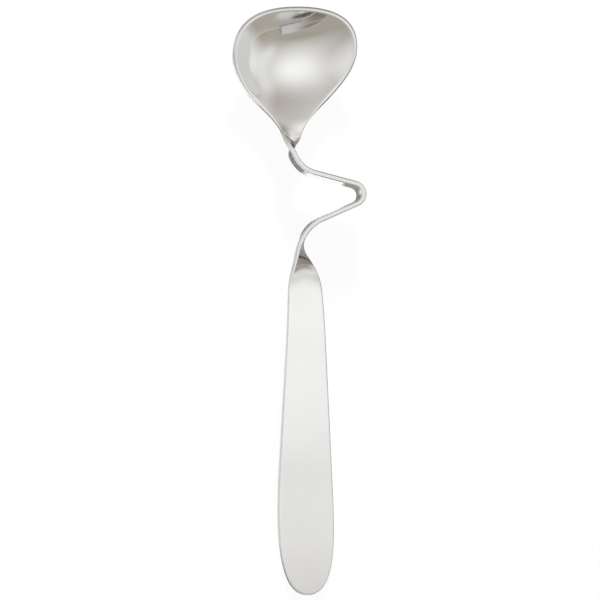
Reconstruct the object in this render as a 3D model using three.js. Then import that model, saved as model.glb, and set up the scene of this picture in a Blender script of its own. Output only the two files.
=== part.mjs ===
// Jam spoon in polished stainless steel, lying face up.
// A strip is formed in three lengths that are butt-joined and polished flush: a dished bowl, a strap
// that is turned on edge and bent sideways into a hook for a jar's rim, and a flat tapering handle.
// Millimetres, +Z up, +Y from the end of the handle to the tip of the bowl, +X to the hook's closed side.
import * as THREE from 'three';
import { mergeVertices } from 'three/addons/utils/BufferGeometryUtils.js';

// Sheet
const stripGauge = 1.5;
const handleGauge = 2.2;
const edgeBreak = 0.2;

// Bowl, along its axis from the tip
const bowlWidth = 36.5;
const tipToWidest = 12.6;
const widestToStrap = 23.9;
const tipRoundingAcross = 14;
const tipRoundingAlong = 7.2;
const shoulderRounding = 10.2;
const strapRunIn = 6.2;
const floorDepth = 9.35;
const tipToDeepest = 15.2;
const floorRunOut = 29;
const cupDepth = 9.3;
const tipToCup = 12.55;
const cupRunOut = 26;
const tipLift = 4.9;
const bowlAxisLength = 30.2;
const tipOffset = 1.4;

// Hook, seen from above
const strapWidth = 6.4;
const neckOffset = 3.25;
const neckLength = 15.5;
const neckLean = 1.5;
const upperStrandRise = 7.35;
const hookReach = 26;
const lowerStrandRise = 10.8;
const lowerBendOffset = 1.8;
const lowerBendRise = 13.7;
const bowlBendRadius = 20;
const upperBendRadius = 8.5;
const throatRadius = 3;
const lowerBendRadius = 9.8;
const rootBendRadius = 60;
const bowlTwistLength = 11.4;
const bowlTwistDelay = 1.6;
const bendTilt = 3;
const bendTiltRun = 9;
const handleTwistLength = 36;
const handleTwistDelay = 4;

// Handle, along its axis from the hook to the end
const handleLength = 91;
const handleRootWidth = 10.6;
const handleShoulderWidth = 15.7;
const flareLength = 27.5;
const flareRunIn = 7.4;
const flareRunOut = 14;
const endLength = 34;
const endRoundingAlong = 18;
const endRoundingAcross = 8.4;
const crestFromRoot = 9;
const crestRun = 5.5;
const heelFromEnd = 26;
const heelRun = 10.5;

// Joints, past the bends where the strip runs straight
const jointMargin = 0.5;
const squareRun = 8;

// Facets
const acrossBowl = 14;
const acrossHook = 4;
const acrossHandle = 6;
const tipSteps = 9;
const flankSteps = 16;
const endSteps = 12;
const bendStep = 0.7;
const handleStep = 4;

const { degToRad, lerp, smoothstep } = THREE.MathUtils;
const quarterTurn = Math.PI / 2;
const smallStep = Math.cbrt(Number.EPSILON);

// The strip's centreline from above: straight runs with a round bend at each inner corner.
function bentRoute(corners, radii) {
  const route = new THREE.CurvePath();
  let from = corners[0];
  radii.forEach((radius, index) => {
    const corner = corners[index + 1];
    const back = corners[index].clone().sub(corner).normalize();
    const onward = corners[index + 2].clone().sub(corner).normalize();
    const halfAngle = Math.acos(back.dot(onward)) / 2;
    const setback = radius / Math.tan(halfAngle);
    const start = corner.clone().addScaledVector(back, setback);
    const end = corner.clone().addScaledVector(onward, setback);
    const bisector = back.clone().add(onward).normalize();
    const centre = corner.clone().addScaledVector(bisector, radius / Math.sin(halfAngle));
    const startAngle = start.clone().sub(centre).angle();
    const endAngle = end.clone().sub(centre).angle();
    const clockwise = back.cross(onward) > 0;
    route.add(new THREE.LineCurve(from, start));
    route.add(new THREE.EllipseCurve(centre.x, centre.y, radius, radius, startAngle, endAngle, clockwise));
    from = end;
  });
  route.add(new THREE.LineCurve(from, corners[corners.length - 1]));
  return route;
}

const offset = (x, y) => new THREE.Vector2(x, y);
const handleEnd = offset(0, 0);
const handleRoot = offset(0, handleLength);
const lowerBend = handleRoot.clone().add(offset(-lowerBendOffset, lowerBendRise));
const throat = lowerBend.clone().add(offset(hookReach, lowerStrandRise));
const upperBend = offset(-neckOffset, throat.y + upperStrandRise);
const bowlRoot = upperBend.clone().add(offset(neckLean, neckLength));
const bowlTip = bowlRoot.clone().add(offset(tipOffset, bowlAxisLength));
const route = bentRoute(
  [bowlTip, bowlRoot, upperBend, throat, lowerBend, handleRoot, handleEnd],
  [bowlBendRadius, upperBendRadius, throatRadius, lowerBendRadius, rootBendRadius],
);

// Distances along the strip, measured from the bowl's tip. Runs and bends of the route alternate.
const runEnds = route.getCurveLengths();
const stripEnd = route.getLength();
const [, bowlRootEnd, neckEnd, , , , lowerBendStart, , , handleRootEnd] = runEnds;
const bowlJoint = bowlRootEnd + jointMargin;
const handleJoint = handleRootEnd + jointMargin;
const bowlTwistEnd = bowlJoint + bowlTwistLength;
const handleTwistStart = handleJoint - handleTwistLength;
const strapStart = tipToWidest + widestToStrap;
const flareStart = lowerBendStart;
const taperStart = flareStart + flareLength;
const taperEnd = stripEnd - endLength;
const crest = handleRootEnd + crestFromRoot;
const heel = stripEnd - heelFromEnd;

// Half of the strip's outline, as distance along the strip and half width.
const bowlHalf = bowlWidth / 2;
const strapHalf = strapWidth / 2;
const rootHalf = handleRootWidth / 2;
const shoulderHalf = handleShoulderWidth / 2;
const taper = (shoulderHalf - rootHalf) / (taperEnd - taperStart);
const tipCurve = new THREE.CubicBezierCurve(
  offset(0, 0),
  offset(0, tipRoundingAcross),
  offset(tipToWidest - tipRoundingAlong, bowlHalf),
  offset(tipToWidest, bowlHalf),
);
const flankCurve = new THREE.CubicBezierCurve(
  offset(tipToWidest, bowlHalf),
  offset(tipToWidest + shoulderRounding, bowlHalf),
  offset(strapStart - strapRunIn, strapHalf),
  offset(strapStart, strapHalf),
);
const strapLine = new THREE.LineCurve(offset(strapStart, strapHalf), offset(flareStart, strapHalf));
const flareCurve = new THREE.CubicBezierCurve(
  offset(flareStart, strapHalf),
  offset(flareStart + flareRunIn, strapHalf),
  offset(taperStart - flareRunOut, rootHalf - taper * flareRunOut),
  offset(taperStart, rootHalf),
);
const taperLine = new THREE.LineCurve(offset(taperStart, rootHalf), offset(taperEnd, shoulderHalf));
const endCurve = new THREE.CubicBezierCurve(
  offset(taperEnd, shoulderHalf),
  offset(taperEnd + endRoundingAlong, shoulderHalf + taper * endRoundingAlong),
  offset(stripEnd, endRoundingAcross),
  offset(stripEnd, 0),
);
const outline = [tipCurve, flankCurve, strapLine, flareCurve, taperLine, endCurve];

// A station is a place along the strip with its half width and the direction in from its edge.
function stationOn(curve, share) {
  const edge = curve.getPoint(share);
  const tangent = curve.getTangent(share);
  return { along: edge.x, half: edge.y, inward: offset(tangent.y, -tangent.x) };
}

function shareAt(curve, along) {
  let low = 0;
  let high = 1;
  let share = (low + high) / 2;
  while (low < share && share < high) {
    if (curve.getPoint(share).x < along) low = share;
    else high = share;
    share = (low + high) / 2;
  }
  return share;
}

function stationAt(along) {
  const curve = outline.find((piece) => along <= piece.getPoint(1).x);
  return { ...stationOn(curve, shareAt(curve, along)), along };
}

function jointStation(along) {
  return { ...stationAt(along), inward: offset(0, -1) };
}

function closedStation(along, inwardAlong) {
  return { along, half: 0, inward: offset(inwardAlong, 0) };
}

const steps = (count) => Array.from({ length: count + 1 }, (_, index) => index / count);

// Depth of a hollow along the bowl: a parabola towards the tip, a soft run-out towards the hook with the
// same curvature at the deepest place.
function hollow(along, depth, deepest, runOut) {
  const reach = along - deepest;
  if (reach < 0) return depth * (1 - (reach / deepest) ** 2);
  const share = Math.min(reach / runOut, 1);
  return depth * (1 - share ** 2) ** ((runOut / deepest) ** 2);
}

// The floor dips below the strap, and rises to the tip.
function floorHeight(along) {
  const lift = tipLift * Math.max(1 - along / bowlJoint, 0) ** 2;
  return lift - hollow(along, floorDepth, tipToDeepest, floorRunOut);
}

// Curvature across the strip, which brings the bowl's edges up over its floor.
function curlAt(along) {
  if (along >= tipToCup + cupRunOut) return 0;
  const inside = Math.max(along, smallStep);
  return hollow(inside, cupDepth, tipToCup, cupRunOut) / stationAt(inside).half ** 2;
}

const floorLine = steps(flankSteps * tipSteps).map((share) => floorHeight(share * bowlJoint));
const tableHeight = Math.min(...floorLine) - stripGauge / 2;
const handleDrop = -tableHeight - handleGauge / 2;

// A slope that sets in softly over a run on both sides of its start.
function softRamp(distance, run) {
  if (distance <= -run) return 0;
  if (distance >= run) return distance;
  return (distance + run) ** 2 / (4 * run);
}

function spineHeight(along) {
  if (along < handleJoint) return floorHeight(along);
  const fallen = softRamp(along - crest, crestRun) - softRamp(along - heel, heelRun);
  return -handleDrop * fallen / (heel - crest);
}

function gaugeAt(along) {
  return lerp(stripGauge, handleGauge, smoothstep(along, handleJoint, heel - heelRun));
}

// Turn on edge and back. A delay above 1 makes the turn start more gently than it ends. In its first bend
// the strap still tilts by some degrees.
function twistAt(along) {
  const turned = smoothstep(along, bowlJoint, bowlTwistEnd) ** bowlTwistDelay;
  const turnedBack = smoothstep(along, handleTwistStart, handleJoint) ** handleTwistDelay;
  const tilted = 1 - smoothstep(along, bowlTwistEnd, bowlTwistEnd + bendTiltRun);
  return quarterTurn * (turned - turnedBack) - degToRad(bendTilt) * turned * tilted;
}

// Way that the sections face. The bowl's stay square to the handle, the strap's turn to its route.
function headingAt(along) {
  const tangent = route.getTangentAt(THREE.MathUtils.clamp(along / stripEnd, 0, 1));
  const onward = new THREE.Vector3(tangent.x, tangent.y, 0);
  return new THREE.Vector3(0, -1, 0).lerp(onward, smoothstep(along, bowlJoint, neckEnd)).normalize();
}

// Middle surface of the sheet. The left edge rises as the strip turns on edge.
function middlePoint(along, across) {
  const place = route.getPointAt(THREE.MathUtils.clamp(along / stripEnd, 0, 1));
  const twist = twistAt(along);
  const up = new THREE.Vector3(0, 0, 1);
  const side = up.clone().cross(headingAt(along));
  const width = side.clone().multiplyScalar(Math.cos(twist)).addScaledVector(up, -Math.sin(twist));
  const face = side.clone().multiplyScalar(Math.sin(twist)).addScaledVector(up, Math.cos(twist));
  return new THREE.Vector3(place.x, place.y, spineHeight(along))
    .addScaledVector(width, across)
    .addScaledVector(face, curlAt(along) * across ** 2);
}

// Direction of the sheet's thickness. Near the joints and through the hook it lies square to the strip.
function thicknessDirection(along, across) {
  const inside = THREE.MathUtils.clamp(along, smallStep * 2, stripEnd - smallStep * 2);
  const onward = middlePoint(inside + smallStep, across).sub(middlePoint(inside - smallStep, across));
  const sideways = middlePoint(inside, across + smallStep).sub(middlePoint(inside, across - smallStep));
  const normal = onward.cross(sideways).normalize();
  const heading = headingAt(inside);
  const square = along > handleJoint ? 0 : smoothstep(along, bowlJoint - squareRun, bowlJoint);
  return normal.addScaledVector(heading, -square * normal.dot(heading)).normalize();
}

function sheetPoint(along, across, rise) {
  return middlePoint(along, across).addScaledVector(thicknessDirection(along, across), rise);
}

// One closed section: top face left to right, right edge, bottom face right to left, left edge.
function sectionLoop({ along, half, inward }, columns) {
  const faceRise = gaugeAt(along) / 2;
  const faceAlong = along + edgeBreak * inward.x;
  const faceHalf = half + edgeBreak * inward.y;
  const face = (side) => steps(columns).map((share) => (
    sheetPoint(faceAlong, faceHalf * (2 * share - 1), side * faceRise)
  ));
  const edge = (side) => [1, -1].map((level) => (
    sheetPoint(along, side * half, level * (faceRise - edgeBreak))
  ));
  return [...face(1), ...edge(1), ...face(-1).reverse(), ...edge(-1).reverse()];
}

// Closed skin through the sections of one length of the strip.
function formedLength(stations, columns) {
  const loops = stations.map((station) => sectionLoop(station, columns));
  const size = loops[0].length;
  const triangles = [];
  const quad = (a, b, c, d) => triangles.push(a, c, b, a, d, c);
  for (let row = 0; row + 1 < loops.length; row += 1) {
    for (let index = 0; index < size; index += 1) {
      const next = (index + 1) % size;
      quad(row * size + index, row * size + next, (row + 1) * size + next, (row + 1) * size + index);
    }
  }
  // A joint is closed by a flat face. A tip, where the strip's width runs out, closes by itself.
  const lastRow = (loops.length - 1) * size;
  const startsAtJoint = stations[0].half > edgeBreak;
  const endsAtJoint = stations[stations.length - 1].half > edgeBreak;
  for (let rung = 0; rung < size / 2 - 1; rung += 1) {
    const top = (rung + size - 1) % size;
    const bottom = size - 2 - rung;
    const nextTop = rung;
    const nextBottom = bottom - 1;
    if (startsAtJoint) quad(top, bottom, nextBottom, nextTop);
    if (endsAtJoint) quad(lastRow + top, lastRow + nextTop, lastRow + nextBottom, lastRow + bottom);
  }
  const loose = new THREE.BufferGeometry().setFromPoints(loops.flat());
  loose.setIndex(triangles);
  const merged = mergeVertices(loose);
  const index = Array.from(merged.index.array);
  const kept = [];
  for (let start = 0; start < index.length; start += 3) {
    const [a, b, c] = index.slice(start, start + 3);
    if (a !== b && b !== c && c !== a) kept.push(a, b, c);
  }
  merged.setIndex(kept);
  return merged;
}

function bowlStations() {
  const jointShare = shareAt(flankCurve, bowlJoint);
  const tip = steps(tipSteps).slice(1).map((share) => stationOn(tipCurve, share));
  const flank = steps(flankSteps).slice(1, -1).map((share) => stationOn(flankCurve, share * jointShare));
  return [closedStation(0, 1), ...tip, ...flank, jointStation(bowlJoint)];
}

// The hook's straight strands need no stations between their ends, its bends and turns do.
function hookStations() {
  const upright = bowlTwistEnd + bendTiltRun;
  const breaks = [bowlJoint, bowlTwistEnd, upright, handleTwistStart, handleJoint, ...runEnds]
    .filter((along) => along >= bowlJoint && along <= handleJoint)
    .sort((a, b) => a - b);
  const places = [];
  for (let index = 0; index + 1 < breaks.length; index += 1) {
    const from = breaks[index];
    const to = breaks[index + 1];
    const turning = from < upright || to > handleTwistStart;
    const bent = runEnds.findIndex((end) => to <= end) % 2 === 1;
    const count = turning || bent ? Math.ceil((to - from) / bendStep) : 1;
    steps(count).slice(0, -1).forEach((share) => places.push(lerp(from, to, share)));
  }
  const inner = places.slice(1).map((along) => stationAt(along));
  return [jointStation(bowlJoint), ...inner, jointStation(handleJoint)];
}

function handleStations() {
  const count = Math.ceil((taperEnd - handleJoint) / handleStep);
  const blade = steps(count).slice(1, -1).map((share) => stationAt(lerp(handleJoint, taperEnd, share)));
  const end = steps(endSteps).slice(0, -1).map((share) => stationOn(endCurve, share));
  return [jointStation(handleJoint), ...blade, ...end, closedStation(stripEnd, -1)];
}

function polishedSteel(colour) {
  return new THREE.MeshStandardMaterial({ color: colour, roughness: 0.08, metalness: 1 });
}

function addLength(group, name, stations, columns, colour) {
  const mesh = new THREE.Mesh(formedLength(stations, columns), polishedSteel(colour));
  mesh.name = name;
  group.add(mesh);
}

// The spoon stands on its bowl and heel, with its origin under the middle of its outer box.
const spoon = new THREE.Group();
addLength(spoon, 'bowl', bowlStations(), acrossBowl, 0xc4c2bd);
addLength(spoon, 'neck_hook', hookStations(), acrossHook, 0xc0beb9);
addLength(spoon, 'handle', handleStations(), acrossHandle, 0xcbcac6);
const box = new THREE.Box3().setFromObject(spoon, true);
const middle = box.getCenter(new THREE.Vector3());
spoon.position.set(-middle.x, -middle.y, -box.min.z);

export default spoon;
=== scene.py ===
"""Jam spoon of mirror-polished stainless steel, with a hook for a jar's rim, on a white studio table."""
import math
from collections import namedtuple

import bmesh
import bpy
import numpy as np
from mathutils import Matrix, Vector
from mathutils.kdtree import KDTree


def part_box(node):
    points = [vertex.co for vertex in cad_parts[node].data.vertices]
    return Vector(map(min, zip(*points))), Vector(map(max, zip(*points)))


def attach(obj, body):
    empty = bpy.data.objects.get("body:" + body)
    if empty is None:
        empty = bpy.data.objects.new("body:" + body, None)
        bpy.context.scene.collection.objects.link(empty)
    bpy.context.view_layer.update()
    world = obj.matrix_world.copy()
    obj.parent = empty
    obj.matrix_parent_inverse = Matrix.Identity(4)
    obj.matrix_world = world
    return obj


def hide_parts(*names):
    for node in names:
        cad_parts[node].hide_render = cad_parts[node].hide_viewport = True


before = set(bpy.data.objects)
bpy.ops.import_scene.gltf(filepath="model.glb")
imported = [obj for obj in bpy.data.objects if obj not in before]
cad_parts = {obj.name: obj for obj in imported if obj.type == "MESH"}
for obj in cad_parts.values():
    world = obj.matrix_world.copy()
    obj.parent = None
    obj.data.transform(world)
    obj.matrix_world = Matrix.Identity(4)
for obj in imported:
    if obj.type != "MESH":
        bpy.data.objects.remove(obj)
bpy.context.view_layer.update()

bl_info = {
    "name": "Jam spoon with a jar hook",
    "version": (1, 0, 0),
    "blender": (4, 5, 0),
    "location": "3D View > Sidebar > Jam spoon",
    "description": "Builds a polished jam spoon on its packed frame, and a white studio round it",
    "category": "Add Mesh",
}

MILLIMETRE = 0.001
HANDLE_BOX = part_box("handle")

# Facets of the fine meshes
ACROSS_STEPS = 48
ROUNDING_STEPS = 6
TIP_STEPS = 56
FLANK_STEPS = 72
BLADE_STEPS = 90
END_STEPS = 48
HOOK_STEP = 0.25 * MILLIMETRE
HALVINGS = 48
SMALL_STEP = 1e-7
JOINT_TOLERANCE = 0.005 * MILLIMETRE

# Half of the length in which the strap's sections ease into a bend
BEND_EASING = 2 * MILLIMETRE

# Runs of the strip's route at whose ends the forming changes, counted from the bowl's tip
BOWL_BEND, NECK, LOWER_STRAND, ROOT_BEND = 1, 2, 6, 9

# Values that the strap's path and its section carry into the node tree
STRAP_VALUES = {
    **dict.fromkeys(("along", "half_width", "curl", "lean", "cut_edge", "side", "lift"), "FLOAT"),
    **dict.fromkeys(("place", "width", "face"), "FLOAT_VECTOR"),
}

# Colour sockets of a Mix node, which share their names with its other sockets
MIX_FROM, MIX_TO, MIX_RESULT = 6, 7, 2

PIECES = ("polished_bowl", "polished_hook", "polished_handle")
WHITE = (1, 1, 1, 1)

# Noise of the buffing lines and of the faint patches
LINE_DETAIL = 3.0
LINE_ROUGHNESS = 0.6
LINE_CONTRAST = (0.3, 0.7)
PATCH_DETAIL = 2.0
TABLE_ROUGHNESS = 0.5

# Parts of the light tent: the direction's share across, along or up where each starts, and where it is full
FRONT_ALONG = (-0.3, -0.8)
TOP_HEIGHT = (0.2, 1.0)
SIDE_ACROSS = (0.55, 0.92)
SIDE_FOOT = (-0.1, 0.45)
SIDE_HEAD = (0.95, 0.45)
SWEEP_ALONG = (0.2, 0.6)
SWEEP_ACROSS = (0.3, -0.1)
SWEEP_HEIGHT = (0.3, 0.1)

# Skew of those parts. The top starts higher past the bowl, the sides lie off the middle,
# and their feet and heads slope across.
TOP_SKEW_START = 0.5
TOP_SKEW = 0.075
SIDE_SHIFT = 0.12
FOOT_SLOPE = -0.15
HEAD_SLOPE = 0.2

# Share of a screen's radius up to which it is thick
GAUZE_CORE = 0.2
CARD_CORE = 0.1

# Nearest and farthest things that the camera shows, in its distances from the table
CLIP_START, CLIP_END = 0.01, 10


# Sizes and finishes that a user would change

def length(name, millimetres, description):
    """Size property that is written in millimetres and kept in metres."""
    return bpy.props.FloatProperty(
        name=name, description=description, default=millimetres * MILLIMETRE, unit="LENGTH", precision=5,
    )


def tilt(name, degrees, description):
    """Angle property that is written in degrees."""
    return bpy.props.FloatProperty(
        name=name, description=description, default=math.radians(degrees), subtype="ANGLE",
    )


def level(name, value, description):
    """Plain number property."""
    return bpy.props.FloatProperty(name=name, description=description, default=value)


def position(name, millimetres, description):
    """Place property across, along and up, that is written in millimetres and kept in metres."""
    place = [value * MILLIMETRE for value in millimetres]
    return bpy.props.FloatVectorProperty(
        name=name, description=description, default=place, subtype="TRANSLATION", unit="LENGTH", size=3,
    )


def colour(name, hex_value, description):
    """Colour property that is written as an sRGB hex value and kept linear."""
    return bpy.props.FloatVectorProperty(
        name=name, description=description, default=linear(hex_value), subtype="COLOR", size=3,
    )


def linear(hex_value):
    """Linear colour of an sRGB hex value such as #c8c6c2."""
    channels = [int(hex_value[start:start + 2], 16) / 255 for start in (1, 3, 5)]
    return [c / 12.92 if c <= 0.04045 else ((c + 0.055) / 1.055) ** 2.4 for c in channels]


class SheetSizes(bpy.types.PropertyGroup):
    """Thickness and edges of the steel."""
    strip_gauge: length("Strip gauge", 1.5, "Thickness of the bowl and the strap")
    handle_gauge: length("Handle gauge", 2.2, "Thickness of the handle towards its end")
    edge_radius: length("Edge radius", 0.5, "Rounding that polishing leaves on the edges")


class BowlSizes(bpy.types.PropertyGroup):
    """Bowl, along its axis from the tip."""
    width: length("Width", 36.5, "Width over the rim")
    depth: length("Depth", 9.35, "Depth of the floor below the strap")
    tip_to_widest: length("Tip to widest", 12.6, "Distance from the tip to the widest place")
    tip_to_deepest: length("Tip to deepest", 15.2, "Distance from the tip to the deepest place")
    widest_to_strap: length("Widest to strap", 23.9, "Distance from the widest place to the strap")
    tip_rounding_across: length("Tip rounding across", 14, "How broadly the tip is rounded")
    tip_rounding_along: length("Tip rounding along", 7.2, "How far the widest place is rounded to the tip")
    shoulder_rounding: length("Shoulder rounding", 10.2, "How far the widest place is rounded to the neck")
    strap_run_in: length("Strap run-in", 6.2, "How softly the flanks run into the strap")
    dish_run_out: length("Floor run-out", 29, "Distance over which the floor rises to the strap")
    cup_depth: length("Cup depth", 9.3, "Rise of the edges over the floor, where it is greatest")
    tip_to_cup: length("Tip to cup", 12.55, "Distance from the tip to the place that is cupped most")
    cup_run_out: length("Cup run-out", 26, "Distance over which the cupped section flattens to the strap")
    tip_lift: length("Tip lift", 4.9, "Height of the tip's rim over the neck")
    axis_length: length("Axis length", 30.2, "Distance from the neck's root to the tip, along the spoon")
    tip_offset: length("Tip offset", 1.4, "How far the tip lies to the hook's side of the neck")


class HookSizes(bpy.types.PropertyGroup):
    """Strap and hook, seen from above."""
    strap_width: length("Strap width", 6.4, "Width of the strap, which stands on edge in the hook")
    neck_offset: length("Neck offset", 3.25, "Distance of the neck from the handle's axis")
    neck_length: length("Neck length", 15.5, "Distance from the first bend to the bowl")
    neck_lean: length("Neck lean", 1.5, "How far the neck leans to the side on its way to the bowl")
    upper_rise: length("Upper strand rise", 7.35, "Rise of the upper strand over the closed bend")
    reach: length("Reach", 26, "How far the closed bend lies to the side")
    lower_rise: length("Lower strand rise", 10.8, "Rise of the lower strand to the closed bend")
    lower_bend_offset: length("Lower bend offset", 1.8, "Distance of the lower bend from the handle's axis")
    lower_bend_rise: length("Lower bend rise", 13.7, "Distance from the handle's root to the lower bend")
    bowl_bend_radius: length("Bowl bend radius", 20, "Bend between the bowl and the strap")
    upper_radius: length("Upper bend radius", 8.5, "Radius of the bend under the bowl")
    throat_radius: length("Closed bend radius", 3, "Radius of the hook's closed bend")
    lower_radius: length("Lower bend radius", 9.8, "Radius of the bend over the handle")
    root_radius: length("Root radius", 60, "Radius of the slight bend at the handle's root")
    bowl_turn_length: length("Turn at the bowl", 11.4, "Length in which the strap turns on edge")
    bowl_turn_delay: level("Delay at the bowl", 1.6, "Above 1 where it starts more gently than it ends")
    bend_tilt: tilt("Tilt in the first bend", 3, "How far the strap still is from upright after its turn")
    bend_tilt_run: length("Tilt's run", 9, "Length in which the strap comes upright")
    handle_turn_length: length("Turn at the handle", 36, "Length in which the strap turns flat again")
    handle_turn_delay: level("Delay at the handle", 4, "Above 1 where it starts more gently than it ends")
    joint_margin: length("Joint margin", 0.5, "Straight length between a root's bend and the joint")
    square_run: length("Square run", 8, "Length in which the bowl's thickness turns square to the joint")


class HandleSizes(bpy.types.PropertyGroup):
    """Handle, along its axis from the hook to the end."""
    blade_length: length("Length", 91, "Distance from the handle's root to its end")
    root_width: length("Root width", 10.6, "Width where the taper starts")
    shoulder_width: length("Shoulder width", 15.7, "Width where the round end starts")
    flare_length: length("Flare length", 27.5, "Length in which the strap widens to the handle")
    flare_run_in: length("Flare run-in", 7.4, "How softly the strap starts to widen")
    flare_run_out: length("Flare run-out", 14, "How softly the flare runs into the taper")
    end_length: length("End length", 34, "Length of the round end")
    end_rounding_along: length("End rounding along", 18, "How far the shoulders are rounded to the end")
    end_rounding_across: length("End rounding across", 8.4, "How broadly the end is rounded")
    crest_from_root: length("Crest", 9, "Distance from the root to the place where the handle starts to fall")
    crest_run: length("Crest run", 5.5, "Half of the length in which the fall sets in")
    heel_from_end: length("Heel", 26, "Distance from the end to the place where the handle lies down")
    heel_run: length("Heel run", 10.5, "Half of the length in which the handle lies down")


class SteelFinish(bpy.types.PropertyGroup):
    """Polished stainless steel."""
    bright: colour("Bright steel", "#dadad9", "Colour of freshly buffed steel")
    dull: colour("Dull steel", "#d3d3d2", "Colour where the polish is a little older")
    cut_edge: colour("Cut edge", "#cacac9", "Colour of the cut edges, which are tumbled and not buffed")
    edge_softness: level("Edge softness", 0.1, "Roughness that the cut edges have on top")
    clear_gloss: level("Clear gloss", 0.03, "Roughness between the buffing lines")
    soft_gloss: level("Soft gloss", 0.08, "Roughness on the buffing lines")
    line_spacing: length("Buffing line spacing", 0.3, "Spacing of the buffing lines")
    line_length: length("Buffing line length", 9, "Length of the buffing lines, along the strip")
    line_depth: length("Buffing line depth", 0.0004, "Depth of the buffing lines")
    patch_size: length("Patch size", 12, "Size of the duller patches")


class StudioSettings(bpy.types.PropertyGroup):
    """Camera and light."""
    lean: tilt("Camera lean", 15, "Lean of the camera to the hook's open side")
    pitch: tilt("Camera pitch", 3.8, "Lean of the camera to the handle's end")
    turn: tilt("Picture turn", 1.955, "Turn of the picture")
    framed_width: length("Framed width", 173.65, "Width of the picture at the table")
    aim_across: length("Aim across", 0.82, "Place of the picture's middle, to the right")
    aim_along: length("Aim along", 0.23, "Place of the picture's middle, to the bowl")
    aim_below_root: length("Aim below root", 6, "Distance from the handle's root to the picture's middle")
    distance: length("Camera distance", 1200, "Distance of the camera from the table")
    table_colour: colour("Table", "#f4f4f4", "Colour of the table")
    # The cloth below is painted shade that only the steel shows: a grey patch in the table beside the hook,
    # standing in for the shade that the steel shows there. The table's greying with distance is painted shade
    # in the steel as well.
    reflected_shade_colour: colour("Cloth", "#9b9791", "Colour of the cloth beside the hook, in the steel")
    reflected_shade_start: length("Cloth start", 14, "Place across where the cloth's edge starts")
    reflected_shade_full: length("Cloth full", 15.4, "Place across from which the cloth covers the table")
    reflected_shade_faded: length("Cloth faded", 220, "Place across where the cloth is as grey as the tent's ends")
    reflected_shade_corner: length("Cloth corner", 36, "Place along the spoon past which the cloth's edge runs aslant")
    table_fade: length("Table fade", 60, "Distance from the spoon's middle at which the table starts to grey")
    table_faded: length("Table faded", 230, "Distance at which the table is as grey as the tent's ends")
    table_size: length("Table size", 3000, "Length of the table's sides")
    table_glow: level("Table glow", 0.95, "Share of plain white in the table, as the camera sees it")
    mottle_size: length("Mottle size", 40, "Size of the table's faint mottle")
    room_light: level("Room light", 0.35, "Light of the tent on the table")
    tent_white: colour("Tent white", "#ffffff", "Colour of the tent's top and sides")
    tent_ends: colour("Tent ends", "#b9b1a5", "Colour of the tent's ends, beyond the bowl and the handle")
    tent_front: colour("Tent front", "#c2bcb2", "Colour of the tent's lower part beyond the handle")
    top_light: level("Top light", 1.34, "Brightness of the tent's top in the steel")
    side_light: level("Side light", 1.2, "Brightness of the tent's sides in the steel")
    sweep_light: level("Sweep light", 1.0, "Brightness of the backdrop that curves up behind the bowl")
    flag_place: position("Flag place", (15, -130, 60), "Place of the grey gauze over the table")
    flag_radius: length("Flag radius", 95, "Radius of the grey gauze")
    flag_cover: level("Flag cover", 0.6, "How much the gauze hides at its middle")
    card_place: position("Card place", (45, 60, 12), "Place of the white card's middle")
    card_radius: length("Card radius", 38, "Radius of the white card")
    card_light: level("Card light", 1.12, "Brightness of the white card in the steel")
    lamp_place: position("Lamp place", (0, 1300, 660), "Place of the soft lamp, high beyond the bowl")
    lamp_size: length("Lamp size", 250, "Width of the soft lamp")
    lamp_power: level("Lamp power", 38, "Power of the soft lamp, in watts")


class SpoonSettings(bpy.types.PropertyGroup):
    """All settings of the spoon and its studio."""
    sheet: bpy.props.PointerProperty(type=SheetSizes, name="Sheet")
    bowl: bpy.props.PointerProperty(type=BowlSizes, name="Bowl")
    hook: bpy.props.PointerProperty(type=HookSizes, name="Hook")
    handle: bpy.props.PointerProperty(type=HandleSizes, name="Handle")
    steel: bpy.props.PointerProperty(type=SteelFinish, name="Steel")
    studio: bpy.props.PointerProperty(type=StudioSettings, name="Studio")


# The strip that the spoon is formed from

Run = namedtuple("Run", "begin length start angle turning")
Stations = namedtuple("Stations", "along half inward")
Profile = namedtuple("Profile", "lean out side lift")


def unit(vectors):
    """Vectors of the same directions and of length 1."""
    return vectors / np.linalg.norm(vectors, axis=-1, keepdims=True)


def smooth(value, low, high):
    """Smooth step from 0 at low to 1 at high."""
    share = np.clip((value - low) / (high - low), 0, 1)
    return share * share * (3 - 2 * share)


def soft_ramp(distance, run):
    """Slope of 1 that sets in softly over a run on both sides of its start."""
    bend = (np.clip(distance, -run, run) + run) ** 2 / (4 * run)
    return bend + np.maximum(distance - run, 0)


def hollow(along, depth, deepest, run_out):
    """Depth of a hollow along the bowl: a parabola to the tip, a soft run-out to the hook."""
    reach = along - deepest
    to_tip = 1 - (reach / deepest) ** 2
    share = np.clip(reach / run_out, 0, 1)
    to_hook = (1 - share**2) ** ((run_out / deepest) ** 2)
    return depth * np.where(reach < 0, to_tip, to_hook)


def bent_route(corners, radii):
    """Straight runs with a round bend at each inner corner, in order along the strip."""
    runs = []
    begin = 0.0
    start = corners[0]
    for before, corner, after, radius in zip(corners, corners[1:], corners[2:], radii):
        coming = unit(corner - before)
        leaving = unit(after - corner)
        turn = math.atan2(coming[0] * leaving[1] - coming[1] * leaving[0], coming @ leaving)
        setback = radius * math.tan(abs(turn) / 2)
        angle = math.atan2(coming[1], coming[0])
        straight = np.linalg.norm(corner - start) - setback
        runs.append(Run(begin, straight, start, angle, 0.0))
        bend = radius * abs(turn)
        turning = math.copysign(1 / radius, turn)
        runs.append(Run(begin + straight, bend, corner - coming * setback, angle, turning))
        begin += straight + bend
        start = corner + leaving * setback
    last = corners[-1] - start
    runs.append(Run(begin, np.linalg.norm(last), start, math.atan2(last[1], last[0]), 0.0))
    return runs


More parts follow.
